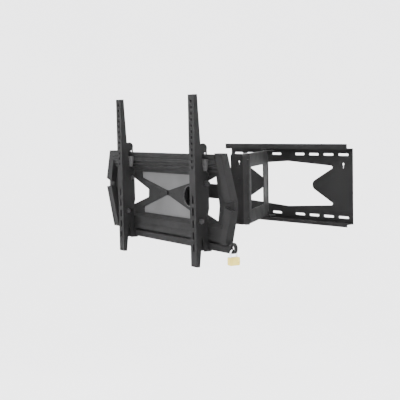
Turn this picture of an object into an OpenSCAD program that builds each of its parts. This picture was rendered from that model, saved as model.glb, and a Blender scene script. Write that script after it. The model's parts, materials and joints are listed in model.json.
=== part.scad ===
// Full motion wall mount for a flat television.
// Frame: origin at the centre of the wall plate's back face, +X right as seen
// from the room, +Y into the wall, +Z up. Lengths are in millimetres.

/* [Wall plate] */
// Width of the wall plate
plate_w = 463; // [420:1:560]
// Height of the wall plate between its flanges' outer faces
plate_h = 196; // [192:1:240]
// Depth of the top and bottom flanges, from the wall
flange_d = 26; // [22:1:34]
// Height that the top lip stands above its flange
lip_h = 12; // [6:1:20]
// Depth that the bottom lip hangs below its flange
foot_lip_h = 6; // [4:1:16]
// Sheet thickness of the wall plate
sheet_t = 2.5; // [2:0.5:4]
// Distance between neighbouring lag screw slots
slot_pitch = 52; // [46:1:58]
// Length of each lag screw slot
slot_len = 36; // [20:1:38]
// Width of each lag screw slot
slot_w = 6; // [5:0.5:9]
// Distance from the flange to the middle of its row of slots
slot_inset = 16.4; // [12:0.2:22]
// Half height of the window at its middle
window_half = 62; // [50:1:64]

/* [Arms] */
// Place of the wall hinge to the left of the middle of the plate
hinge_left = 66.5; // [40:0.5:90]
// Distance of the wall hinge from the wall
hinge_out = 24; // [22:1:34]
// Length of each arm between its hinges, along its panel
arm_span = 234.5; // [200:0.5:290]
// Distance of the swivel pin in front of the elbow pin's line
swivel_step = 28.4; // [27:0.2:32]
// Height of the arms
arm_h = 180; // [150:1:182]
// Depth of the inner arm's channel
inner_d = 12; // [10:0.5:12]
// Depth of the outer arm's channel
outer_d = 14; // [12:0.5:14.5]
// Sheet thickness of the arms
arm_t = 3; // [2.5:0.5:4]
// Half height of the inner arm's window
arm_window_half = 55; // [40:1:60]
// Height of the outer arm's middle band
band_h = 37; // [30:1:50]
// Height of the middle of the outer arm's band
band_z = -10; // [-20:1:0]
// Radius of the hinge pins
pin_r = 5; // [4:0.5:6]
// Wall of the hinge bushes
bush_t = 1.5; // [1:0.25:2]
// Outer radius of the hinge barrels
barrel_r = 8; // [7.5:0.25:8.5]

/* [Rest position] */
// Angle of the inner arm from the wall
inner_turn = -56; // [-62:1:-40]
// Angle of the outer arm from the wall
outer_turn = -4; // [-10:1:6]
// Angle of the screen side from the wall
head_turn = -8.5; // [-15:0.5:6]

/* [Screen plate] */
// Distance from the swivel pin to the rails' front faces
head_d = 103; // [100:1:130]
// Height of the screen plate
face_h = 216; // [200:1:240]
// Height of the middle of the screen plate
face_z = -16; // [-24:1:-8]
// Half width of the screen plate at its widest point
face_half_w = 341; // [320:1:380]
// Depth of the top beam in front of the plate's web
beam_d = 19; // [16:0.5:22]
// Depth of the bottom beam in front of the plate's web
foot_d = 10; // [8:0.5:12]
// Distance from the rails' front faces to the plate's web
web_back = 47; // [46:0.5:52]
// Width of each end cover's front face
cover_w = 31; // [26:1:36]
// Depth of each end cover
cover_d = 16; // [12:0.5:20]

/* [Rails] */
// Distance between the two rails
rail_gap = 400; // [300:10:440]
// Shift of the pair of rails to the right
rail_shift = 12; // [-10:1:16]
// Length of each rail
rail_len = 431; // [420:1:480]
// Width of each rail
rail_w = 29; // [27:0.5:34]
// Sheet thickness of the rails and hangers
rail_t = 2.5; // [2:0.5:2.5]
// Height of the middle of the rails
rail_z = 26; // [16:1:36]
// Radius of the round screw holes in the rails
rail_hole_r = 4.25; // [3:0.25:4.5]
// Distance between the round screw holes
rail_hole_pitch = 15; // [13:0.5:15]
// Distance between the long screw holes
rail_slot_pitch = 30; // [26:1:30]
// Length of the long screw holes
rail_slot_len = 20; // [14:1:22]
// Steepest tilt of the rails
tilt_max = 12; // [5:1:12]

/* [Lock] */
// Height of the lock bar
bar_h = 17; // [14:1:20]
// Thickness of the lock bar
bar_t = 4; // [3:0.5:4]
// Outer radius of the ring at the end of the bar
ring_r = 13.5; // [12:0.5:14]
// Radius of the hole in the ring
ring_hole_r = 7.5; // [6.5:0.5:8]
// Radius of the padlock's shackle rod
shackle_r = 2.3; // [2:0.1:2.6]
// Width of the padlock
lock_w = 28; // [26:1:32]
// Height of the padlock's body
lock_h = 20; // [18:1:28]
// Thickness of the padlock's body
lock_t = 12.5; // [11:0.5:16]

/* [Hidden] */
$fn = 48;

// Gaps between pieces that move on each other.
gap = 0.3;
run = 0.05;
// Wall plate.
inner_z = plate_h / 2 - sheet_t;
slot_row_z = plate_h / 2 - slot_inset;
slot_steps = [0.85, 1.85, 2.85, 3.85];
tongue_tip = 91;
tongue_r = 14;
window_end = 163;
window_end_half = window_half - 10;
tongue_root = window_half - 16;
keyhole_x = 200;
keyhole_z = 57;
tab_t = 4;
tab_w = 34;
// Arms: the height left for the elbow lugs at each end.
lug_h = 14;
lug_r = 7.5;
elbow_half = arm_h / 2 - lug_h - 0.5;
head_half = 64;
elbow_pad_w = 50;
elbow_pad_over = 12;
elbow_end = 12;
rib_t = 4;
head_pad_w = 50;
end_rim = 12;
window_near = 52;
window_far = 28;
// Outer arm: its panel lies this far in front of the elbow pin.
skin_v = inner_d / 2 + 1 + outer_d;
// Screen side, measured from the swivel pin.
front_y = -head_d;
web_y = front_y + web_back;
beam_y = web_y - beam_d;
foot_y = web_y - foot_d;
top_z = face_z + face_h / 2;
bottom_z = face_z - face_h / 2;
beam_face_h = 22;
beam_shelf = 5;
shelf_h = 9;
shelf_fall = 3.5;
groove_in = 1.8;
beam_foot_h = 48;
foot_head_h = 42;
web_top = top_z - beam_foot_h;
web_low = bottom_z + foot_head_h;
foot_face_h = 34;
yoke_t = 6;
yoke_w = 80;
yoke_half = 72;
hub_r = 44;
hub_t = 5;
hub_boss_r = 6.5;
clamp_x = 38;
// Windows in the screen plate's web.
waist_top = face_z + 7;
waist_low = face_z - 6;
window_x = 143;
port_x = 115;
hem_h = 12;
hem_half = 262;
port_r = 27;
// End covers: the long leg, the knee and the short leg.
cover_rise = face_h / 2 + 3.5;
cover_knee_in = 43;
cover_foot_in = 26;
cover_step = 10;
seam_in = 2;
seam_w = 1.6;
seam_d = 7;
// Hanger and rail outlines are set out from the rails' front face.
pivot = [14, -100];
knob = [30, -6];
knob_r = 7;
hanger_half = rail_w / 2 - rail_t - 0.5;
claw_y = 35.5;
// Heights of the top beam, the bottom beam's head and the bar in the rails' frame.
beam_top = top_z - rail_z;
foot_head = bottom_z + foot_head_h - rail_z;
bar_low = bottom_z - 6 - bar_h - rail_z;
// Lock bar and padlock.
bar_top = bottom_z - 6;
bar_mid_z = bar_top - bar_h / 2;
bar_y = front_y + 38;
bar_left = -270;
ring_x = face_half_w - 8;
ring_z = bar_top - 3;
lug_t = 3;
shackle_y = bar_y + (gap + lug_t) / 2;
shackle_bend = 9;
shackle_top = ring_z - ring_hole_r + shackle_r + 1.3;
lock_top = ring_z - ring_r - 8;
leg_depth = 12;

STEEL = [0.17, 0.17, 0.18];
DARK = [0.11, 0.11, 0.12];
ZINC = [0.62, 0.62, 0.64];
NYLON = [0.3, 0.3, 0.31];
BRASS = [0.83, 0.68, 0.3];

// Frames of the moving groups.
module in_inner() {
    translate([-hinge_left, -hinge_out, 0])
        rotate(inner_turn)
            children();
}
module in_outer() {
    in_inner()
        translate([arm_span, 0, 0])
            rotate(outer_turn - inner_turn)
                children();
}
module in_head() {
    in_outer()
        translate([-arm_span, -swivel_step, 0])
            rotate(head_turn - outer_turn)
                children();
}
// side is -1 for the left rail and 1 for the right one.
module in_rail(side) {
    in_head()
        translate([rail_shift + side * rail_gap / 2, front_y, rail_z])
            children();
}

// Extrusions of flat outlines: slab stands across Y, strip runs along X.
module slab(y_back, thick) {
    translate([0, y_back, 0])
        rotate([90, 0, 0])
            linear_extrude(thick)
                children();
}
module strip(x_left, length) {
    translate([x_left, 0, 0])
        rotate([90, 0, 90])
            linear_extrude(length)
                children();
}
module tube(outer, inner, z_low, z_high) {
    translate([0, 0, z_low])
        difference() {
            cylinder(h = z_high - z_low, r = outer);
            translate([0, 0, -1])
                cylinder(h = z_high - z_low + 2, r = inner);
        }
}
module rod_x(r, x_low, x_high) {
    translate([x_low, 0, 0])
        rotate([0, 90, 0])
            cylinder(h = x_high - x_low, r = r);
}
module rod_y(r, y_low, y_high) {
    translate([0, y_high, 0])
        rotate([90, 0, 0])
            cylinder(h = y_high - y_low, r = r);
}
// A rectangle between two corners, with round corners.
module round_box(low, high, r) {
    translate([low[0] + r, low[1]])
        square([high[0] - low[0] - 2 * r, high[1] - low[1]]);
    translate([low[0], low[1] + r])
        square([high[0] - low[0], high[1] - low[1] - 2 * r]);
    for (x = [low[0] + r, high[0] - r], y = [low[1] + r, high[1] - r])
        translate([x, y])
            circle(r);
}
module slot_x(length, width) {
    round_box([-length / 2, -width / 2], [length / 2, width / 2], width / 2 - 0.001);
}
// Point where a line from p touches a circle; turn picks the side.
function touch(p, c, r, turn) =
    let (d = norm(p - c), a = acos(r / d), v = (p - c) / d)
    c + r * [v[0] * cos(a) - turn * v[1] * sin(a), v[1] * cos(a) + turn * v[0] * sin(a)];

// ---- Wall side ----
module tongue_outline() {
    tip = [tongue_tip + tongue_r, 0];
    top = [window_end, tongue_root];
    foot = [window_end, -tongue_root];
    translate(tip)
        circle(tongue_r);
    polygon([top, touch(top, tip, tongue_r, 1), tip, touch(foot, tip, tongue_r, -1), foot,
             [window_end + 9, -tongue_root], [window_end + 9, tongue_root]]);
}
module wall_window() {
    end = window_end;
    end_half = window_end_half;
    difference() {
        polygon([[0, -window_half], [end - 4, -end_half], [end, 3 - end_half],
                 [end, end_half - 3], [end - 4, end_half], [0, window_half],
                 [4 - end, end_half], [-end, end_half - 3], [-end, 3 - end_half],
                 [4 - end, -end_half]]);
        tongue_outline();
        mirror([1, 0])
            tongue_outline();
    }
}
module keyhole() {
    circle(3.6);
    translate([-1.6, -11])
        square([3.2, 11]);
}
module wall_plate() {
    half_w = plate_w / 2;
    half_h = plate_h / 2;
    color(STEEL)
        difference() {
            union() {
                translate([-half_w, -sheet_t, -half_h])
                    cube([plate_w, sheet_t, plate_h]);
                for (s = [-1, 1]) {
                    translate([-half_w, -flange_d, s > 0 ? inner_z : -half_h])
                        cube([plate_w, flange_d, sheet_t]);
                }
                translate([-half_w, -flange_d, inner_z])
                    cube([plate_w, sheet_t, lip_h + sheet_t]);
                translate([-half_w, -flange_d, -half_h - foot_lip_h])
                    cube([plate_w, sheet_t, foot_lip_h + sheet_t]);
            }
            slab(1, sheet_t + 2) {
                wall_window();
                for (s = [-1, 1], row = [-1, 1], k = slot_steps)
                    translate([s * k * slot_pitch, row * slot_row_z])
                        slot_x(slot_len, slot_w);
                for (s = [-1, 1])
                    translate([s * keyhole_x, keyhole_z])
                        keyhole();
            }
        }
}
module wall_hinge_tabs() {
    color(STEEL)
        for (s = [-1, 1])
            difference() {
                translate([-hinge_left, 0, s > 0 ? inner_z - tab_t : -inner_z])
                    linear_extrude(tab_t)
                        union() {
                            translate([0, -hinge_out])
                                circle(tab_w / 3);
                            translate([-tab_w / 2, -hinge_out])
                                square([tab_w, hinge_out - sheet_t]);
                        }
                translate([-hinge_left, -hinge_out, s * inner_z - 10])
                    cylinder(h = 20, r = pin_r);
            }
}
module wall_hinge_pin() {
    color(ZINC)
        translate([-hinge_left, -hinge_out, -inner_z])
            cylinder(h = 2 * inner_z, r = pin_r);
}
module wall_pin_rings() {
    color(ZINC)
        for (s = [-1, 1])
            translate([-hinge_left, -hinge_out, s > 0 ? arm_h / 2 + gap : tab_t - inner_z])
                tube(pin_r + 2, pin_r, 0, inner_z - tab_t - arm_h / 2 - gap);
}

// ---- Inner arm ----
// A flanged bush stands in each end of a barrel.
module bush_pair(half) {
    for (s = [-1, 1])
        tube(pin_r + bush_t, pin_r + run, s > 0 ? half - 16 : -half, s > 0 ? half : 16 - half);
}
module barrel(half) {
    tube(barrel_r, pin_r + bush_t, -half, half);
}
module inner_arm_panel() {
    half = arm_h / 2;
    far = arm_span - elbow_end;
    inner = inner_d / 2;
    color(STEEL)
        in_inner()
            difference() {
                union() {
                    translate([0, inner - arm_t, -half])
                        cube([far, arm_t, arm_h]);
                    for (s = [-1, 1])
                        translate([end_rim, -inner, s > 0 ? half - arm_t : -half])
                            cube([far - end_rim, inner_d, arm_t]);
                }
                translate([0, 0, -half - 1])
                    cylinder(h = arm_h + 2, r = barrel_r);
                slab(inner + 1, arm_t + 2)
                    round_box([window_near, -arm_window_half],
                              [arm_span - window_far, arm_window_half], 6);
            }
}
module inner_arm_barrel() {
    color(STEEL)
        in_inner()
            barrel(arm_h / 2);
}
module inner_arm_bushes() {
    color(NYLON)
        in_inner()
            bush_pair(arm_h / 2);
}
module elbow_lug_outline() {
    difference() {
        union() {
            circle(lug_r);
            translate([-2 * elbow_end, -inner_d / 2])
                square([2 * elbow_end, inner_d - arm_t]);
        }
        circle(pin_r);
    }
}
module elbow_lugs() {
    half = arm_h / 2;
    color(STEEL)
        in_inner()
            translate([arm_span, 0, 0])
                for (s = [-1, 1])
                    translate([0, 0, s > 0 ? half - lug_h : -half])
                        difference() {
                            linear_extrude(lug_h)
                                elbow_lug_outline();
                            translate([-40, -20, s > 0 ? lug_h - arm_t : 0])
                                cube([40 - elbow_end, 40, arm_t]);
                        }
}
module elbow_pin() {
    color(ZINC)
        in_inner()
            translate([arm_span, 0, -arm_h / 2])
                cylinder(h = arm_h, r = pin_r);
}
module elbow_pin_caps() {
    color(DARK)
        in_inner()
            translate([arm_span, 0, 0])
                for (s = [-1, 1])
                    translate([0, 0, s > 0 ? arm_h / 2 : -arm_h / 2 - 2])
                        cylinder(h = 2, r = pin_r + 1.5);
}
module inner_cable_clips() {
    clip_w = 14;
    color(DARK)
        in_inner()
            for (u = [window_near + 10, arm_span / 2 + 12, arm_span - window_far - 10])
                translate([u - clip_w / 2, inner_d / 2 - arm_t, -arm_window_half - 18])
                    mirror([0, 1, 0])
                        rotate([90, 0, 90])
                            linear_extrude(clip_w)
                                difference() {
                                    round_box([0, -7], [7.5, 7], 3);
                                    round_box([0, -5], [5.5, 5], 2);
                                    translate([-1, -2])
                                        square([3, 4]);
                                }
}

// ---- Outer arm: drawn from the elbow towards -X, its skin faces the room ----
module outer_arm_outline(inset) {
    half = arm_h / 2 - inset;
    round_box([inset + elbow_pad_over - elbow_pad_w, -half], [elbow_pad_over - inset, half],
              6 - inset);
    translate([inset - arm_span, band_z - band_h / 2 + inset])
        square([arm_span - 2 * inset - 10, band_h - 2 * inset]);
    round_box([inset - arm_span - end_rim, inset - head_half],
              [head_pad_w - arm_span - inset, head_half - inset], 6 - inset);
}
module outer_arm_rib(z) {
    // A plate that joins a barrel to the arm's skin.
    translate([0, 0, z - rib_t / 2])
        linear_extrude(rib_t)
            difference() {
                children();
                circle(barrel_r);
            }
}
module outer_arm_panel() {
    half = arm_h / 2;
    rib_w = barrel_r + 1;
    color(STEEL)
        in_outer() {
            difference() {
                slab(outer_d - skin_v, outer_d)
                    outer_arm_outline(0);
                slab(outer_d - skin_v + 1, outer_d - arm_t + 1)
                    outer_arm_outline(arm_t);
                translate([0, 0, -half - 1])
                    cylinder(h = arm_h + 2, r = barrel_r + 1);
                translate([-arm_span, -swivel_step, -half])
                    cylinder(h = arm_h, r = barrel_r);
                slab(1 - skin_v + arm_t, arm_t + 2)
                    round_box([-13, 56], [2, 73], 2);
                for (u = [0.58, 0.72])
                    translate([-arm_span * u, 0, band_z])
                        rod_y(3, -40, 20);
            }
            for (z = [-60, -20, 20, 60])
                outer_arm_rib(z)
                    translate([-rib_w, arm_t - skin_v])
                        square([2 * rib_w, skin_v - arm_t - 3.5]);
            for (s = [-1, 1])
                translate([-arm_span, -swivel_step, 0])
                    outer_arm_rib(s * 40)
                        translate([0, -1])
                            square([rib_w + 5, swivel_step - skin_v + 1]);
        }
}
module elbow_barrel() {
    color(STEEL)
        in_outer()
            barrel(elbow_half);
}
module elbow_bushes() {
    color(NYLON)
        in_outer()
            bush_pair(elbow_half);
}
module elbow_tension_bolt() {
    color(ZINC)
        in_outer()
            translate([-5, 0, 24]) {
                rod_y(2.5, -skin_v - 4, -skin_v);
                translate([0, -skin_v, 0])
                    rotate([90, 0, 0])
                        cylinder(h = 3, r = 5, $fn = 6);
            }
}
module head_barrel() {
    color(STEEL)
        in_outer()
            translate([-arm_span, -swivel_step, 0])
                barrel(head_half);
}
module head_bushes() {
    color(NYLON)
        in_outer()
            translate([-arm_span, -swivel_step, 0])
                bush_pair(head_half);
}
module outer_cable_clips() {
    clip_w = 14;
    color(DARK)
        in_outer()
            for (u = [-90, -150])
                translate([u - clip_w / 2, arm_t - skin_v, band_z])
                    rotate([90, 0, 90])
                        linear_extrude(clip_w)
                            difference() {
                                round_box([0, -9], [9, 9], 3);
                                round_box([0, -7], [7, 7], 2);
                                translate([-1, -3])
                                    square([3, 6]);
                            }
}

// ---- Swivel yoke ----
module yoke_ear() {
    difference() {
        union() {
            circle(pin_r + 6);
            translate([-pin_r - 6, web_y + sheet_t + hub_t + gap])
                square([2 * pin_r + 12, -web_y - sheet_t - hub_t - gap]);
            translate([-yoke_w / 2, web_y + sheet_t + hub_t + gap])
                square([yoke_w, yoke_t]);
        }
        circle(pin_r);
    }
}
module swivel_yoke() {
    back = web_y + sheet_t + hub_t + gap + yoke_t;
    color(STEEL)
        in_head() {
            difference() {
                slab(back, yoke_t)
                    round_box([-yoke_w / 2, -yoke_half], [yoke_w / 2, yoke_half], 4);
                translate([0, 0, face_z])
                    rod_y(4, web_y - 10, back + 10);
                for (s = [-1, 1])
                    translate([s * clamp_x, 0, face_z])
                        rod_y(10, web_y - 10, back + 10);
            }
            for (s = [-1, 1])
                difference() {
                    translate([0, 0, s > 0 ? yoke_half - yoke_t : -yoke_half])
                        linear_extrude(yoke_t)
                            difference() {
                                yoke_ear();
                                translate([-yoke_w, back - 20])
                                    square([2 * yoke_w, 20]);
                            }
                    translate([0, 0, -yoke_half - 1])
                        cylinder(h = 2 * yoke_half + 2, r = pin_r);
                }
        }
}
module swivel_pin() {
    color(ZINC)
        in_head()
            translate([0, 0, -yoke_half])
                cylinder(h = 2 * yoke_half, r = pin_r);
}
module swivel_pin_rings() {
    color(ZINC)
        in_head()
            for (s = [-1, 1])
                translate([0, 0, s > 0 ? yoke_half : -yoke_half - 2])
                    cylinder(h = 2, r = pin_r + 2.5);
}
module level_hub() {
    front = web_y + sheet_t + gap;
    step = hub_t / 2;
    color(ZINC)
        in_head()
            translate([0, 0, face_z])
                difference() {
                    union() {
                        rod_y(hub_r, front + step, front + hub_t);
                        rod_y(hub_boss_r, front, front + hub_t);
                    }
                    rod_y(4, front - 1, front + hub_t + 1);
                    slab(front + hub_t + 1, hub_t + 2)
                        for (s = [-1, 1])
                            translate([s * clamp_x, 0])
                                round_box([-3, -6], [3, 6], 2.9);
                }
}
module level_bolt() {
    back = web_y + sheet_t + hub_t + gap + yoke_t;
    color(DARK)
        in_head()
            translate([0, 0, face_z]) {
                rod_y(4, web_y - gap, back);
                rod_y(6, web_y - gap - 3, web_y - gap);
                translate([0, back + 4, 0])
                    rotate([90, 0, 0])
                        cylinder(h = 4, r = 7.5, $fn = 6);
            }
}

// ---- Screen plate ----
// Outline of the plate's outer edge at height z: the knee of one end sits high
// on the left and low on the right, because the end covers are the same part.
function long_tip(s) = [s * (face_half_w - cover_knee_in), face_z + s * cover_rise];
function knee_a(s) = [s * face_half_w, face_z - s * 3];
function knee_b(s) = [s * face_half_w, face_z - s * 28];
function short_tip(s) = [s * (face_half_w - cover_foot_in), face_z - s * cover_rise];
function inward(p, s, w) = [p[0] - s * w, p[1]];
function inner_a(s) = inward(knee_a(s), s, cover_w) - [0, s * 4];
function inner_b(s) = inward(knee_b(s), s, cover_w) + [0, s * 9];

// Profile of the beams and web across the plate, from the room (-Y) to the wall.
module plate_profile() {
    t = sheet_t;
    face_foot = top_z - beam_face_h;
    foot_top = bottom_z + foot_face_h;
    back = web_y + t;
    // The inner corners of the folds stand off from the outer ones by these.
    lift = 0.52 * t;
    nudge = 0.47 * t;
    shelf_a = beam_y + beam_shelf;
    shelf_b = beam_y + 2 * beam_shelf;
    groove_y = beam_y + groove_in;
    polygon([[back, top_z], [beam_y, top_z], [beam_y, top_z - 10], [groove_y, top_z - 11.5],
             [groove_y, top_z - 14.5], [beam_y, top_z - 16], [beam_y, face_foot],
             [shelf_a, face_foot - shelf_fall], [shelf_a, face_foot - shelf_h],
             [shelf_b, face_foot - shelf_h - shelf_fall], [shelf_b, face_foot - 2 * shelf_h],
             [web_y, web_top], [web_y, web_low], [foot_y, foot_top], [foot_y, bottom_z],
             [back, bottom_z], [back, bottom_z + t], [foot_y + t, bottom_z + t],
             [foot_y + t, foot_top + 1], [back, web_low + 1], [back, web_top + 1],
             [shelf_b + t, face_foot - 2 * shelf_h + lift],
             [shelf_b + t, face_foot - shelf_h - shelf_fall + lift],
             [shelf_a + t, face_foot - shelf_h + lift],
             [shelf_a + t, face_foot - shelf_fall + lift], [beam_y + t, face_foot + lift],
             [beam_y + t, top_z - 16 - nudge], [groove_y + t, top_z - 14.5 - nudge],
             [groove_y + t, top_z - 11.5 + nudge], [beam_y + t, top_z - 10 + nudge],
             [beam_y + t, top_z - t], [back, top_z - t]]);
}
module end_pad_outline(s) {
    w = cover_w + 1;
    polygon([long_tip(s), knee_a(s), knee_b(s), short_tip(s), inward(short_tip(s), s, w),
             inward(knee_b(s), s, w), inward(knee_a(s), s, w), inward(long_tip(s), s, w)]);
}
module plate_outline() {
    w = cover_w + 0.5;
    polygon([inward(long_tip(-1), -1, w), inward(inner_a(-1), -1, 0.5),
             inward(inner_b(-1), -1, 0.5), inward(short_tip(-1), -1, w),
             inward(long_tip(1), 1, w), inward(inner_a(1), 1, 0.5),
             inward(inner_b(1), 1, 0.5), inward(short_tip(1), 1, w)]);
}
module top_window() {
    polygon([[-8, waist_top], [-window_x, web_top - 24], [-window_x, web_top - 7],
             [window_x, web_top - 7], [window_x, web_top - 24], [8, waist_top]]);
}
module low_window() {
    polygon([[-6, waist_low], [6, waist_low], [window_x - 6, web_low + 20],
             [window_x - 6, web_low + 4], [6 - window_x, web_low + 4],
             [6 - window_x, web_low + 20]]);
}
module side_window(s) {
    polygon([[s * 105, face_z + 5], [s * 107, face_z - 17], [s * 255, web_low + 7],
             [s * 262, face_z - 20], [s * 249, web_top - 6]]);
}
module hanger_slots() {
    for (s = [-1, 1])
        translate([rail_shift + s * (rail_gap / 2 - 30) - 85, claw_y + front_y - 3, top_z - 20])
            cube([170, 6, 40]);
}
module screen_plate() {
    color(STEEL)
        in_head()
            difference() {
                union() {
                    intersection() {
                        strip(-face_half_w, 2 * face_half_w)
                            plate_profile();
                        slab(0, head_d)
                            plate_outline();
                    }
                    slab(web_y + sheet_t, sheet_t)
                        for (s = [-1, 1])
                            end_pad_outline(s);
                    // A hem turned down behind the lock bar.
                    strip(-hem_half, 2 * hem_half)
                        translate([web_y, bottom_z - hem_h])
                            square([sheet_t, hem_h + sheet_t]);
                }
                slab(web_y + sheet_t + 1, sheet_t + 2) {
                    top_window();
                    low_window();
                    for (s = [-1, 1])
                        side_window(s);
                    translate([port_x, face_z - 3])
                        circle(port_r);
                }
                hanger_slots();
                // A groove pressed into the bottom beam's face.
                translate([-250, foot_y - 1, bottom_z + 15])
                    cube([500, 1.8, 2]);
                translate([0, 0, face_z])
                    rod_y(4.05, web_y - 5, web_y + 10);
                for (s = [-1, 1])
                    translate([s * clamp_x, 0, face_z])
                        rod_y(2.5, web_y - 5, web_y + 10);
                for (s = [-1, 1], p = cover_screws(s))
                    translate([p[0], 0, p[1]])
                        rod_y(2, web_y - 5, web_y + 10);
            }
}
module window_infills() {
    color(NYLON)
        in_head()
            difference() {
                slab(web_y + sheet_t + 2, 2) {
                    grow = 6;
                    polygon([[-16, waist_top - 2], [-window_x - grow, web_top - 27],
                             [-window_x - grow, web_top - 3], [window_x + grow, web_top - 3],
                             [window_x + grow, web_top - 27], [16, waist_top - 2]]);
                    polygon([[-14, waist_low + 2], [14, waist_low + 2],
                             [window_x, web_low + 24], [window_x, web_low + 2],
                             [-window_x, web_low + 2], [-window_x, web_low + 24]]);
                }
                translate([0, 0, face_z])
                    rod_y(hub_boss_r + 1, web_y, web_y + 20);
                translate([port_x, 0, face_z - 3])
                    rod_y(port_r + 1, web_y, web_y + 20);
            }
}
module level_clamp_screws() {
    back = web_y + sheet_t + hub_t + gap;
    color(ZINC)
        in_head()
            for (s = [-1, 1])
                translate([s * clamp_x, 0, face_z]) {
                    rod_y(2.5, web_y, back + gap);
                    rod_y(6, back + gap, back + gap + 3);
                }
}

// ---- End covers ----
function cover_screws(s) = [
    [s * (face_half_w - cover_w / 2 - 24), face_z + s * 66],
    [s * (face_half_w - cover_w / 2 - 16), face_z - s * 84]
];
module cover_leg(s, a, b, c) {
    // a is the leg's far end, b its end at the knee on the outer edge, c on the inner.
    wall = sheet_t;
    up = a[1] > b[1] ? 1 : -1;
    far = seam_in + seam_w;
    difference() {
        slab(web_y, cover_d)
            polygon([a, b, c, inward(a, s, cover_w)]);
        slab(web_y + 1, cover_d - wall + 1)
            polygon([[a[0] - s * wall, a[1] - up * wall], [b[0] - s * wall, b[1] + up * wall],
                     [c[0] + s * wall, c[1] + up * wall],
                     [a[0] - s * (cover_w - wall), a[1] - up * wall]]);
        // The seam that sets the side strip off from the front face.
        slab(web_y - cover_d + seam_d, seam_d + 1)
            polygon([inward(a, s, seam_in) + [0, up], inward(b, s, seam_in) - [0, up],
                     inward(b, s, far) - [0, up], inward(a, s, far) + [0, up]]);
    }
    // The floor of the seam.
    slab(web_y - cover_d + seam_d + wall, wall)
        polygon([inward(a, s, 1), inward(b, s, 1), inward(b, s, far + 1.5),
                 inward(a, s, far + 1.5)]);
    slab(web_y - cover_d + seam_d, seam_d)
        polygon([inward(a, s, far), inward(b, s, far), inward(b, s, far + 1.5),
                 inward(a, s, far + 1.5)]);
}
module end_cover(s) {
    color(STEEL)
        in_head() {
            cover_leg(s, long_tip(s), knee_a(s), inner_a(s));
            cover_leg(s, short_tip(s), knee_b(s), inner_b(s));
            slab(web_y, cover_d - cover_step)
                polygon([knee_a(s), knee_b(s), inner_b(s), inner_a(s)]);
            for (p = cover_screws(s))
                translate([p[0], 0, p[1]])
                    difference() {
                        rod_y(4.5, web_y - cover_d + sheet_t, web_y);
                        rod_y(2, web_y - 9, web_y + 1);
                    }
        }
}
module left_end_cover() {
    end_cover(-1);
}
module right_end_cover() {
    end_cover(1);
}
module end_cover_screws() {
    color(ZINC)
        in_head()
            for (s = [-1, 1], p = cover_screws(s))
                translate([p[0], 0, p[1]]) {
                    rod_y(2, web_y - 8, web_y + sheet_t);
                    rod_y(4, web_y + sheet_t, web_y + sheet_t + 2);
                }
}

// ---- Lock bar and padlock ----
module lock_lug() {
    back = bar_y + bar_t / 2 + gap + lug_t;
    color(STEEL)
        in_head()
            difference() {
                slab(back, lug_t) {
                    translate([ring_x, ring_z])
                        circle(ring_r);
                    polygon([[ring_x - 67, bottom_z], [ring_x - 67, ring_z - 6],
                             [ring_x, ring_z - ring_r + 0.5], [ring_x, ring_z + 4.5],
                             [ring_x - 51, bottom_z - 4.5], [ring_x - 51, bottom_z]]);
                }
                translate([ring_x, 0, ring_z])
                    rod_y(ring_hole_r, back - 10, back + 10);
            }
}
module lock_bar() {
    back = bar_y + bar_t / 2;
    color(STEEL)
        in_head()
            difference() {
                slab(back, bar_t) {
                    translate([ring_x, ring_z])
                        circle(ring_r);
                    round_box([bar_left, bar_top - bar_h], [ring_x, bar_top], 3);
                }
                translate([ring_x, 0, ring_z])
                    rod_y(ring_hole_r, back - 10, back + 10);
                translate([bar_left + 9, 0, bar_mid_z])
                    rod_y(3, back - 10, back + 10);
            }
}
module lock_bar_stop() {
    color(ZINC)
        in_head()
            translate([bar_left + 9, 0, bar_mid_z]) {
                rod_y(3, bar_y - bar_t / 2, bar_y + bar_t / 2);
                rod_y(6, bar_y - bar_t / 2 - 4, bar_y - bar_t / 2);
                rod_y(6, bar_y + bar_t / 2, bar_y + bar_t / 2 + 4);
            }
}
module shackle() {
    bend_z = shackle_top - shackle_bend;
    color(ZINC)
        in_head()
            translate([ring_x, shackle_y, 0]) {
                translate([0, 0, bend_z])
                    rotate([90, 0, 90])
                        rotate_extrude(angle = 180)
                            translate([shackle_bend, 0])
                                circle(shackle_r);
                for (s = [-1, 1])
                    translate([0, s * shackle_bend, lock_top - (s > 0 ? leg_depth : 5)])
                        cylinder(h = bend_z - lock_top + (s > 0 ? leg_depth : 5), r = shackle_r);
            }
}
module padlock_body() {
    color(BRASS)
        in_head()
            translate([ring_x, shackle_y, lock_top - lock_h])
                difference() {
                    translate([-lock_t / 2, 0, 0])
                        rotate([90, 0, 90])
                            linear_extrude(lock_t)
                                round_box([-lock_w / 2, 0], [lock_w / 2, lock_h], 3);
                    translate([0, shackle_bend, lock_h - leg_depth - 2])
                        cylinder(h = leg_depth + 3, r = shackle_r + run);
                    translate([0, -shackle_bend, lock_h - 6])
                        cylinder(h = 7, r = shackle_r + run);
                    translate([0, 0, -1])
                        cylinder(h = 13, r = 4 + run);
                }
}
module key_cylinder() {
    color(ZINC)
        in_head()
            translate([ring_x, shackle_y, lock_top - lock_h])
                difference() {
                    cylinder(h = 11.5, r = 4);
                    translate([-0.6, -2.6, -1])
                        cube([1.2, 5.2, 7]);
                }
}

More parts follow.
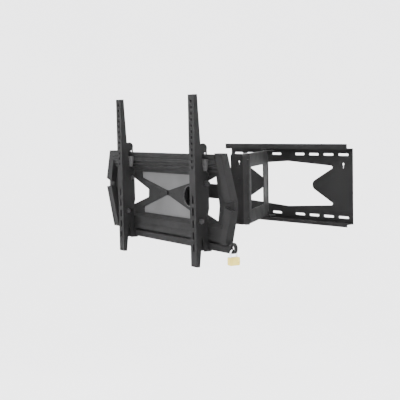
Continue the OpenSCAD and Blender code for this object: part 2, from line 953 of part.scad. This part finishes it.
// ---- Hangers and rails: y is measured back from the rails' front faces ----
// A slot that follows a circle about the tilt pivot, from the knob forward.
module tilt_slot(half_w) {
    reach = norm(knob - pivot);
    rest = atan2(knob[1] - pivot[1], knob[0] - pivot[0]);
    translate(pivot) {
        for (a = [rest, rest + tilt_max])
            translate(reach * [cos(a), sin(a)])
                circle(half_w);
        intersection() {
            difference() {
                circle(reach + half_w, $fn = 120);
                circle(reach - half_w, $fn = 120);
            }
            polygon([[0, 0], 2 * reach * [cos(rest), sin(rest)],
                     2 * reach * [cos(rest + tilt_max), sin(rest + tilt_max)]]);
        }
    }
}
module hanger_outline() {
    // The web of the hanger, with an ear over the top beam and a hook under the bar.
    hook_low = bar_low - 5;
    hook_top = bar_low + 18;
    translate([26, beam_top + 16])
        circle(12);
    polygon([[4, -92], [22, bar_low + 23], [24, hook_low], [46, hook_low], [46, hook_top],
             [bar_back(), hook_top], [bar_back(), bar_low - gap], [bar_front(), bar_low - gap],
             [bar_front(), foot_head + 22], [39, foot_head + 30], [40, foot_head + 48],
             [38.5, beam_top - 52], [26, beam_top - 27], [24.5, beam_top - 20],
             [24.5, beam_top + 6], [28, beam_top + 14], [20, beam_top + 20],
             [4, beam_top + 20]]);
    translate([claw_y - 1.8, beam_top - 7])
        square([3.6, 20]);
}
function bar_front() = 38 - bar_t / 2 - gap;
function bar_back() = 38 + bar_t / 2 + gap;
module hanger(side) {
    t = rail_t;
    color(STEEL)
        in_rail(side)
            difference() {
                union() {
                    for (x = [-hanger_half, hanger_half - t])
                        strip(x, t)
                            hanger_outline();
                    translate([-hanger_half, 4, -92])
                        cube([2 * hanger_half, t, beam_top + 112]);
                }
                strip(-20, 40) {
                    tilt_slot(3.4);
                    translate(pivot)
                        circle(4);
                }
            }
}
module left_hanger() {
    hanger(-1);
}
module right_hanger() {
    hanger(1);
}
module hanger_glides(side) {
    // Nylon pads between the ears, which ride on the top of the beam.
    color(NYLON)
        in_rail(side)
            translate([rail_t - hanger_half, 27, beam_top + 0.8])
                cube([2 * (hanger_half - rail_t), 5, 8]);
}
module left_hanger_glides() {
    hanger_glides(-1);
}
module right_hanger_glides() {
    hanger_glides(1);
}
module tilt_pivot(side) {
    half = rail_w / 2;
    color(ZINC)
        in_rail(side)
            translate([0, pivot[0], pivot[1]]) {
                rod_x(4 - run, -half - 1, half + 1);
                for (s = [-1, 1])
                    translate([s > 0 ? half + 0.4 : -half - 5.4, 0, 0])
                        rotate([0, 90, 0])
                            cylinder(h = 5, r = 7, $fn = 6);
            }
}
module left_tilt_pivot() {
    tilt_pivot(-1);
}
module right_tilt_pivot() {
    tilt_pivot(1);
}
module rail_outline() {
    half = rail_len / 2;
    polygon([[0, half], [10, half], [17, beam_top + 28], [20, beam_top], [22, beam_top - 16],
             [25, beam_top - 28], [37.5, beam_top - 52], [39, beam_top - 66],
             [39.5, foot_head + 38], [36, foot_head + 24], [22, foot_head - 4],
             [15, bar_low + 23], [13, bar_low - 8], [9, -half], [0, -half]]);
}
module rail(side) {
    half = rail_len / 2;
    t = rail_t;
    color(STEEL)
        in_rail(side)
            difference() {
                strip(-rail_w / 2, rail_w)
                    rail_outline();
                translate([t - rail_w / 2, t, -half - 1])
                    cube([rail_w - 2 * t, 60, rail_len + 2]);
                for (i = [0:11])
                    translate([0, 0, half - 17 - i * rail_hole_pitch])
                        rod_y(rail_hole_r, -5, 10);
                slab(10, 15)
                    for (i = [0:4])
                        translate([0, -47 - i * rail_slot_pitch])
                            round_box([-3.5, -rail_slot_len / 2], [3.5, rail_slot_len / 2], 3.49);
                strip(-20, 40) {
                    translate(pivot)
                        circle(4);
                    translate(knob)
                        circle(3);
                }
            }
}
module left_rail() {
    rail(-1);
}
module right_rail() {
    rail(1);
}
module tilt_bolt(side) {
    half = rail_w / 2;
    color(ZINC)
        in_rail(side)
            translate([0, knob[0], knob[1]]) {
                rod_x(3, side > 0 ? -half : -half - 7.5, side > 0 ? half + 7.5 : half);
                rod_x(6, side > 0 ? -half - 3 : half, side > 0 ? -half : half + 3);
            }
}
module left_tilt_bolt() {
    tilt_bolt(-1);
}
module right_tilt_bolt() {
    tilt_bolt(1);
}
module tilt_knob(side) {
    start = rail_w / 2 + gap;
    color(DARK)
        in_rail(side)
            translate([side * start, knob[0], knob[1]])
                rotate([0, side * 90, 0])
                    difference() {
                        union() {
                            cylinder(h = 2.5, r = 5);
                            translate([0, 0, 2.5])
                                cylinder(h = 8.5, r = knob_r);
                        }
                        for (a = [20:45:359])
                            rotate(a)
                                translate([knob_r + 1.2, 0, 1])
                                    cylinder(h = 12, r = 2);
                        translate([0, 0, -1])
                            cylinder(h = 9, r = 3 + run);
                    }
}
module left_tilt_knob() {
    tilt_knob(-1);
}
module right_tilt_knob() {
    tilt_knob(1);
}

wall_plate();
wall_hinge_tabs();
wall_hinge_pin();
wall_pin_rings();
inner_arm_panel();
inner_arm_barrel();
inner_arm_bushes();
elbow_lugs();
elbow_pin();
elbow_pin_caps();
inner_cable_clips();
outer_arm_panel();
elbow_barrel();
elbow_bushes();
elbow_tension_bolt();
head_barrel();
head_bushes();
outer_cable_clips();
swivel_yoke();
swivel_pin();
swivel_pin_rings();
level_hub();
level_bolt();
screen_plate();
window_infills();
level_clamp_screws();
left_end_cover();
right_end_cover();
end_cover_screws();
lock_lug();
lock_bar();
lock_bar_stop();
left_hanger();
right_hanger();
left_hanger_glides();
right_hanger_glides();
left_tilt_pivot();
right_tilt_pivot();
left_rail();
right_rail();
left_tilt_bolt();
right_tilt_bolt();
left_tilt_knob();
right_tilt_knob();
shackle();
padlock_body();
key_cylinder();
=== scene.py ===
import json
import math

import bmesh
import bpy
from mathutils import Matrix, Vector


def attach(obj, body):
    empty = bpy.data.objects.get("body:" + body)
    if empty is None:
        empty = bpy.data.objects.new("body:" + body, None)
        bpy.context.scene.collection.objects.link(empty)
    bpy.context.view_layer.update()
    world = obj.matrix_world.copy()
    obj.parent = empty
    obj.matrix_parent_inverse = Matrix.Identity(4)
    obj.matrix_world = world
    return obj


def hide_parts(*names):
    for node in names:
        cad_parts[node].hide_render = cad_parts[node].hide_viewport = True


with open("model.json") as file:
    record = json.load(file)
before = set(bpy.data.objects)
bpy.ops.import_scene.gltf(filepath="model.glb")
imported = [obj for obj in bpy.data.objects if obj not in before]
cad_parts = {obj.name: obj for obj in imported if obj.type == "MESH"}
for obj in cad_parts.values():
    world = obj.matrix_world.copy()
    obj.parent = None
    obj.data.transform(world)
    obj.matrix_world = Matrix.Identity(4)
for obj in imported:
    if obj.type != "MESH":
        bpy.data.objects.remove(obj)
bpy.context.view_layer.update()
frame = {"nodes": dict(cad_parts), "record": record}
NODES = frame["nodes"]

# ---------------------------------------------------------------- camera
CAMERA_AT = Vector((1.8149, -1.8364, 0.1652))
AZIMUTH, PITCH, ROLL = math.radians(50.13), math.radians(4.59), math.radians(-1.13)
LENS = 84.0


def make_camera():
    look = Vector((-math.sin(AZIMUTH) * math.cos(PITCH), math.cos(AZIMUTH) * math.cos(PITCH),
                   -math.sin(PITCH)))
    side = look.cross(Vector((0, 0, 1))).normalized()
    up = side.cross(look)
    right = math.cos(ROLL) * side + math.sin(ROLL) * up
    top = math.cos(ROLL) * up - math.sin(ROLL) * side
    data = bpy.data.cameras.new("camera")
    data.lens = LENS
    data.sensor_width = 36
    data.clip_start, data.clip_end = 0.05, 50
    cam = bpy.data.objects.new("camera", data)
    bpy.context.collection.objects.link(cam)
    turn = Matrix((right, top, -look)).transposed().to_4x4()
    cam.matrix_world = Matrix.Translation(CAMERA_AT) @ turn
    bpy.context.scene.camera = cam


make_camera()

# ---------------------------------------------------------------- materials


class Nodes:
    """A short way to write a node tree."""

    def __init__(self, name):
        self.mat = bpy.data.materials.new(name)
        self.mat.use_nodes = True
        self.tree = self.mat.node_tree
        self.bsdf = self.tree.nodes["Principled BSDF"]

    def add(self, kind, **values):
        node = self.tree.nodes.new(kind)
        for key, value in values.items():
            if key in node.inputs:
                node.inputs[key].default_value = value
            else:
                setattr(node, key, value)
        return node

    def link(self, a, b):
        self.tree.links.new(a, b)

    def ramp(self, source, stops):
        node = self.add("ShaderNodeValToRGB")
        while len(node.color_ramp.elements) < len(stops):
            node.color_ramp.elements.new(0.5)
        for element, (place, colour) in zip(node.color_ramp.elements, stops):
            element.position = place
            element.color = colour if len(colour) == 4 else (*colour, 1)
        self.link(source, node.inputs["Fac"])
        return node.outputs["Color"]

    def noise(self, scale, detail=3.0, stretch=(1, 1, 1)):
        place = self.add("ShaderNodeTexCoord").outputs["Object"]
        mapping = self.add("ShaderNodeMapping")
        mapping.inputs["Scale"].default_value = stretch
        self.link(place, mapping.inputs["Vector"])
        node = self.add("ShaderNodeTexNoise", Scale=scale, Detail=detail)
        self.link(mapping.outputs["Vector"], node.inputs["Vector"])
        return node.outputs["Fac"]

    def bump(self, height, strength, distance):
        node = self.add("ShaderNodeBump", Strength=strength, Distance=distance)
        self.link(height, node.inputs["Height"])
        self.link(node.outputs["Normal"], self.bsdf.inputs["Normal"])


def grey(v):
    return (v, v, v * 1.01)


def coated(name, dark, light, rough, grain=900.0, lift=0.12, sheen=0.05):
    """Powder coat: a fine orange peel, slow changes of tone, and a clouded sheen."""
    n = Nodes(name)
    n.link(n.ramp(n.noise(9, 4), [(0.3, dark), (0.7, light)]), n.bsdf.inputs["Base Color"])
    n.link(n.ramp(n.noise(35, 3), [(0.25, grey(rough - 0.05)), (0.75, grey(rough + 0.06))]),
           n.bsdf.inputs["Roughness"])
    n.bsdf.inputs["Specular IOR Level"].default_value = sheen
    n.bump(n.noise(grain, 2), lift, 0.0006)
    return n.mat


def metal(name, dark, light, rough, stretch=(1, 1, 40), scale=60.0, lift=0.08):
    """Bare or plated metal with a brushed grain along one axis."""
    n = Nodes(name)
    n.bsdf.inputs["Metallic"].default_value = 1.0
    grain = n.noise(scale, 4, stretch)
    n.link(n.ramp(grain, [(0.3, dark), (0.7, light)]), n.bsdf.inputs["Base Color"])
    n.link(n.ramp(n.noise(45, 3), [(0.3, grey(rough - 0.05)), (0.7, grey(rough + 0.08))]),
           n.bsdf.inputs["Roughness"])
    n.bump(grain, lift, 0.0004)
    return n.mat


def plastic(name, dark, light, rough, grain=1400.0, lift=0.15):
    n = Nodes(name)
    n.link(n.ramp(n.noise(20, 3), [(0.3, dark), (0.7, light)]), n.bsdf.inputs["Base Color"])
    n.link(n.ramp(n.noise(60, 2), [(0.3, grey(rough - 0.04)), (0.7, grey(rough + 0.05))]),
           n.bsdf.inputs["Roughness"])
    n.bsdf.inputs["Specular IOR Level"].default_value = 0.25
    n.bump(n.noise(grain, 1), lift, 0.0004)
    return n.mat


MATS = {
    "black_steel": coated("powder_coat_black", grey(0.0095), grey(0.0135), 0.6),
    "zinc_steel": metal("zinc_dark", grey(0.10), grey(0.17), 0.36),
    "nylon": plastic("nylon_dark", grey(0.030), grey(0.042), 0.5),
    "black_plastic": plastic("plastic_black", grey(0.008), grey(0.013), 0.42),
    "grey_panel": coated("panel_grey", grey(0.055), grey(0.075), 0.5),
    "brass": metal("brass_brushed", (0.56, 0.44, 0.09), (0.68, 0.56, 0.15), 0.30, (40, 1, 1), 50, 0.06),
    "chrome_steel": metal("chrome_bright", grey(0.70), grey(0.82), 0.12, (1, 1, 1), 30, 0.01),
}
WELD = coated("weld_coated", grey(0.010), grey(0.018), 0.36, 500.0, 0.25, 0.4)
# Nodes whose edges are rounded a little, and by how much (mm).
EDGES = {"black_steel": 0.5, "brass": 0.8, "black_plastic": 0.5}
slot_of = {s["node"]: s["material_slot"] for s in frame["record"]["subparts"]}
for node_name, obj in NODES.items():
    slot = slot_of[node_name]
    obj.data.materials.clear()
    obj.data.materials.append(MATS[slot])
    if slot in EDGES:
        edge = obj.modifiers.new("edge", "BEVEL")
        edge.limit_method = "ANGLE"
        edge.angle_limit = math.radians(50)
        edge.width = EDGES[slot] * 0.001
        edge.segments = 2
        edge.use_clamp_overlap = True

# ---------------------------------------------------------------- frames of the moving groups
# Sizes of the CAD model that the details below sit on, in millimetres.
MM = 0.001
BARREL = 8.0            # outer radius of the hinge barrels
SPAN = 234.5            # length of each arm between its hinges
SWIVEL_STEP = 28.4      # from the outer arm's line to the swivel pin
INNER_SKIN, INNER_BACK = 6.0, 3.0
OUTER_SKIN = -21.0
TAB_Z = 91.5            # lower face of the upper wall hinge tab
FACE_Z, RAIL_Z = -16.0, 26.0
WEB_Y, SHEET = -56.0, 2.5
BEAM_TOP = 66.0         # top of the upper beam, from the middle of the rails
RAIL_W = 29.0
KNOB_Y, KNOB_Z, KNOB_REACH = 30.0, -6.0, 11.3
PORT_X, PORT_R = 115.0, 27.0
CLAMP_X = 38.0
RING_X, SHACKLE_Y, LOCK_TOP, LOCK_HALF_T = 333.0, -63.35, -154.5, 6.25


def turned(x, y, z, yaw=0.0):
    """A frame moved by millimetres, then turned about +Z by degrees."""
    return Matrix.Translation((x * MM, y * MM, z * MM)) @ Matrix.Rotation(math.radians(yaw), 4, "Z")


WALL = turned(0, 0, 0)
INNER = turned(-66.5, -24, 0, -56)
OUTER = INNER @ turned(SPAN, 0, 0, 52)
HEAD = OUTER @ turned(-SPAN, -SWIVEL_STEP, 0, -4.5)
RAIL = {s: HEAD @ turned(12 + s * 200, -103, RAIL_Z) for s in (-1, 1)}


def add_piece(name, bm, at, material, body, smooth=True):
    """Make an object of a mesh drawn in millimetres, and tie it to its body."""
    bmesh.ops.recalc_face_normals(bm, faces=bm.faces)
    mesh = bpy.data.meshes.new(name)
    bm.to_mesh(mesh)
    bm.free()
    mesh.transform(at @ Matrix.Scale(MM, 4))
    for poly in mesh.polygons:
        poly.use_smooth = smooth
    mesh.materials.append(material)
    obj = bpy.data.objects.new(name, mesh)
    bpy.context.collection.objects.link(obj)
    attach(obj, body)
    return obj


def join_rows(bm, rows):
    """Faces between closed rows that hold the same number of points."""
    count = len(rows[0])
    for low, high in zip(rows, rows[1:]):
        for k in range(count):
            bm.faces.new((low[k], low[(k + 1) % count], high[(k + 1) % count], high[k]))


def cap_rows(bm, rows):
    bm.faces.new(rows[0])
    bm.faces.new(rows[-1])


# ---------------------------------------------------------------- weld beads
def bead(bm, start, end, radius, seed=0):
    """One pass of weld: a low ridge whose ripples follow each other along the seam."""
    start, end = Vector(start), Vector(end)
    run = end - start
    along = run.normalized()
    side = along.orthogonal().normalized()
    up = along.cross(side)
    steps = max(8, int(run.length / 0.55))
    around = 10
    rings = []
    for k in range(steps + 1):
        t = k / steps
        cap = math.sqrt(max(0.0, 1 - abs(2 * t - 1) ** 14))
        ripple = 1 + 0.10 * math.sin(k * 1.9 + seed) + 0.04 * math.sin(k * 0.37 + 2 * seed)
        r = radius * max(0.15, cap) * ripple
        rings.append([bm.verts.new(start + run * t + side * (r * math.cos(math.tau * a / around))
                                   + up * (r * math.sin(math.tau * a / around)))
                      for a in range(around)])
    join_rows(bm, rings)
    cap_rows(bm, rings)


def weld(name, at, seams, radius, body):
    bm = bmesh.new()
    for k, (start, end) in enumerate(seams):
        bead(bm, start, end, radius, k)
    return add_piece(name, bm, at, WELD, body)


def welds():
    tab = TAB_Z - 0.6
    weld("wall_hinge_welds", WALL,
         [((-83, -3.1, s * tab), (-50, -3.1, s * tab)) for s in (-1, 1)], 1.5, "wall")
    # Short runs along the barrel, where it meets the panel's outer and inner face.
    outer = math.sqrt(BARREL ** 2 - INNER_SKIN ** 2)
    inner = math.sqrt(BARREL ** 2 - INNER_BACK ** 2)
    weld("inner_arm_welds", INNER,
         [((x, y, z - 14), (x, y, z + 14))
          for x, y in ((outer, INNER_SKIN + 0.1), (inner + 0.2, INNER_BACK - 0.1))
          for z in (-66, -22, 22, 66)], 1.2, "inner_arm")
    depth = SWIVEL_STEP + OUTER_SKIN
    reach = math.sqrt(BARREL ** 2 - depth ** 2) + 0.8
    weld("head_barrel_welds", OUTER,
         [((-SPAN + s * reach, OUTER_SKIN - 0.5, z - 12), (-SPAN + s * reach, OUTER_SKIN - 0.5, z + 12))
          for s in (-1, 1) for z in (-46, 0, 46)], 1.3, "outer_arm")


welds()


# ---------------------------------------------------------------- turned and moulded details
def hexed(radius, angle):
    """Radius of a hexagon with this corner radius, at an angle."""
    return radius * math.cos(math.pi / 6) / math.cos(angle % (math.pi / 3) - math.pi / 6)


def lathe(bm, rings, at=Matrix.Identity(4), around=48):
    """Turn rings of (radius, height) about +Z; a third value of True makes that ring a hexagon."""
    rows = []
    for radius, height, *is_hex in rings:
        row = []
        for k in range(around):
            a = math.tau * k / around
            r = hexed(radius, a) if is_hex else radius
            row.append(bm.verts.new(at @ Vector((r * math.cos(a), r * math.sin(a), height))))
        rows.append(row)
    join_rows(bm, rows)
    return rows


def solid_lathe(bm, rings, at=Matrix.Identity(4), around=48):
    cap_rows(bm, lathe(bm, rings, at, around))


def place(x, y, z, axis):
    """A matrix in millimetres that stands +Z along an axis at a point."""
    turn = Vector((0, 0, 1)).rotation_difference(Vector(axis)).to_matrix().to_4x4()
    return Matrix.Translation((x, y, z)) @ turn


def socket_screw(bm, at, radius, height, socket):
    """A round head with a rolled edge and a hexagon socket."""
    solid_lathe(bm, [(radius, 0), (radius, height * 0.55), (radius * 0.93, height * 0.85),
                     (radius * 0.8, height), (socket * 1.12, height), (socket, height - 0.15, True),
                     (socket, height * 0.3, True)], at, 24)


def set_of_screws(name, node, spots, shank, grip, head, under_head):
    """Screws that point into the plate from behind, in place of the plain ones."""
    bm = bmesh.new()
    for x, z in spots:
        at = place(x, under_head, z, (0, 1, 0))
        solid_lathe(bm, [(shank * 0.7, -grip), (shank, 0.4 - grip), (shank, 0.05)], at, 24)
        socket_screw(bm, at, *head)
    slot = slot_of[node]
    piece = add_piece(name, bm, HEAD, MATS[slot], "head", False)
    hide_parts(node)


def back_screws():
    covers = [(s * 301.5, FACE_Z + s * 66) for s in (-1, 1)]
    covers += [(s * 309.5, FACE_Z - s * 84) for s in (-1, 1)]
    set_of_screws("end_cover_socket_screws", "end_cover_screws", covers,
                  shank=2.0, grip=10.5, head=(4.0, 2.0, 1.7), under_head=WEB_Y + SHEET)
    set_of_screws("level_clamp_socket_screws", "level_clamp_screws",
                  [(s * CLAMP_X, FACE_Z) for s in (-1, 1)],
                  shank=2.5, grip=8.0, head=(6.0, 3.0, 2.6), under_head=-47.9)


def knob_caps():
    """A domed cap with a rolled rim on each tilt knob."""
    dome = [(5.6, -0.3), (5.6, 0.5), (5.2, 0.9), (4.4, 0.9), (4.0, 0.5), (2.6, 0.9), (1.2, 1.1), (0.3, 1.15)]
    for s, side in ((-1, "left"), (1, "right")):
        bm = bmesh.new()
        solid_lathe(bm, dome, place(s * (RAIL_W / 2 + KNOB_REACH), KNOB_Y, KNOB_Z, (s, 0, 0)))
        add_piece(side + "_knob_cap", bm, RAIL[s], MATS["black_plastic"], side + "_knob_body")


def hanger_pads():
    """The ribbed nylon pad beside each hanger, just in front of the top beam."""
    left, right, back = RAIL_W / 2 + 0.5, RAIL_W / 2 + 19, 27.6
    ribs, steps = 7, 32
    for s, side in ((-1, "left"), (1, "right")):
        bm = bmesh.new()
        rows = []
        for k in range(steps + 1):
            t = k / steps
            z = BEAM_TOP - 11 - 30 * t
            rib = 0.5 * math.cos(math.tau * t * ribs)
            wide = right - 9 * t ** 2 + rib * 0.6
            front = 19.5 + 3.5 * t ** 2 - rib
            ring = [(left, back), (left, front + 0.8), (left + 0.8, front), (wide - 1.6, front),
                    (wide, front + 1.6), (wide, back)]
            rows.append([bm.verts.new((x, y, z)) for x, y in ring])
        join_rows(bm, rows)
        cap_rows(bm, rows)
        # The foot that reaches back to the hanger.
        foot = [bm.verts.new((x, y, z)) for x in (-9, left + 1) for y in (24.6, 27.4)
                for z in (BEAM_TOP - 22, BEAM_TOP - 12)]
        for face in ((0, 1, 3, 2), (4, 5, 7, 6), (0, 1, 5, 4), (2, 3, 7, 6), (0, 2, 6, 4), (1, 3, 7, 5)):
            bm.faces.new([foot[k] for k in face])
        add_piece(side + "_hanger_pad", bm, RAIL[s], MATS["nylon"], side + "_hanger_body", False)


def port_grommet():
    """The soft ring that lines the round opening in the screen plate."""
    bm = bmesh.new()
    sides = 16
    angles = [math.tau * k / sides for k in range(sides + 1)]
    lathe(bm, [(PORT_R - 0.5 - math.cos(a), 1.4 * math.sin(a) - 0.6) for a in angles],
          place(PORT_X, WEB_Y, FACE_Z - 3, (0, -1, 0)), 72)
    bmesh.ops.remove_doubles(bm, verts=bm.verts, dist=0.001)
    add_piece("port_grommet", bm, HEAD, MATS["black_plastic"], "head")


def padlock_rivets():
    """Four rivets on each broad face of the padlock."""
    bm = bmesh.new()
    for s in (-1, 1):
        for y, z in ((-9.5, -3.4), (9.5, -3.4), (-9.5, -16.4), (9.5, -16.4)):
            solid_lathe(bm, [(1.5, -0.3), (1.5, 0.15), (1.1, 0.42), (0.4, 0.5)],
                        place(s * LOCK_HALF_T, y, LOCK_TOP + z, (s, 0, 0)), 20)
    add_piece("padlock_rivets", bm, HEAD @ turned(RING_X, SHACKLE_Y, 0), MATS["brass"], "padlock")


def beam_end_plates():
    """Thin plates folded in to close the ends of the top beam, leaning as the covers do."""
    top = 91.4
    outline = [(top, -74.6), (70, -74.6), (66.5, -69.6), (61, -69.6), (57.5, -64.6), (52, -64.6),
               (46, -57.6), (46, -53.7), (top, -53.7)]
    for side, end, lean in (("left", -285.0, -0.27), ("right", 268.0, 0.363)):
        bm = bmesh.new()
        inward = 0.4 if end > 0 else -0.4
        rows = [[bm.verts.new((end + lean * (top - z) - depth, y, z)) for z, y in outline]
                for depth in (inward, 4 * inward)]
        cap_rows(bm, rows)
        join_rows(bm, rows)
        add_piece(side + "_beam_end_plate", bm, HEAD, MATS["black_steel"], "head", False)


beam_end_plates()
back_screws()
knob_caps()
hanger_pads()
port_grommet()
padlock_rivets()

# ---------------------------------------------------------------- stage
FLOOR_Z = -1.1
SKY = 6.0


def stage_bowl():
    """A pale floor that sweeps up into a low round backdrop, far behind the mount on every side."""
    n = Nodes("backdrop_pale")
    n.link(n.ramp(n.noise(1.2, 2), [(0.3, grey(0.80)), (0.7, grey(0.83))]), n.bsdf.inputs["Base Color"])
    n.bsdf.inputs["Roughness"].default_value = 1.0
    n.bsdf.inputs["Specular IOR Level"].default_value = 0.0
    flat, bend, top = 3.6, 2.4, 3.4
    rows = [(flat * k / 4, FLOOR_Z) for k in range(1, 5)]
    rows += [(flat + bend * math.sin(math.radians(a)), FLOOR_Z + bend * (1 - math.cos(math.radians(a))))
             for a in range(6, 91, 6)]
    rows.append((flat + bend, top))
    bm = bmesh.new()
    rings = []
    around = 96
    for radius, height in rows:
        rings.append([bm.verts.new((radius * math.cos(math.tau * k / around),
                                    radius * math.sin(math.tau * k / around), height))
                      for k in range(around)])
    bm.faces.new(rings[0])
    join_rows(bm, rings)
    bmesh.ops.recalc_face_normals(bm, faces=bm.faces)
    mesh = bpy.data.meshes.new("backdrop")
    bm.to_mesh(mesh)
    bm.free()
    for poly in mesh.polygons:
        poly.use_smooth = True
    mesh.materials.append(n.mat)
    bowl = bpy.data.objects.new("backdrop", mesh)
    bpy.context.collection.objects.link(bowl)


def sky():
    """Soft studio light from above the backdrop."""
    world = bpy.data.worlds.new("studio")
    bpy.context.scene.world = world
    world.use_nodes = True
    tree = world.node_tree
    back = tree.nodes["Background"]
    place = tree.nodes.new("ShaderNodeTexCoord")
    split = tree.nodes.new("ShaderNodeSeparateXYZ")
    ramp = tree.nodes.new("ShaderNodeValToRGB")
    tree.links.new(place.outputs["Generated"], split.inputs[0])
    tree.links.new(split.outputs["Z"], ramp.inputs["Fac"])
    stops = ramp.color_ramp.elements
    stops[0].position, stops[0].color = 0.1, (1.0, 0.995, 0.985, 1)
    stops[1].position, stops[1].color = 1.0, (0.82, 0.82, 0.82, 1)
    tree.links.new(ramp.outputs["Color"], back.inputs["Color"])
    back.inputs["Strength"].default_value = SKY


def area_light(name, at, aim, size, power):
    data = bpy.data.lights.new(name, "AREA")
    data.shape = "RECTANGLE"
    data.size, data.size_y = size
    data.energy = power
    lamp = bpy.data.objects.new(name, data)
    lamp.location = at
    lamp.rotation_euler = (Vector(aim) - Vector(at)).to_track_quat("-Z", "Y").to_euler()
    bpy.context.collection.objects.link(lamp)


stage_bowl()
sky()
area_light("key", (1.6, -2.2, 2.4), (-0.1, -0.2, 0), (1.6, 1.2), 42)
area_light("fill", (-2.2, -2.0, 1.0), (-0.2, -0.3, 0), (1.8, 1.8), 16)
area_light("rim", (0.4, -0.2, 2.2), (-0.1, -0.2, 0), (1.2, 0.8), 16)
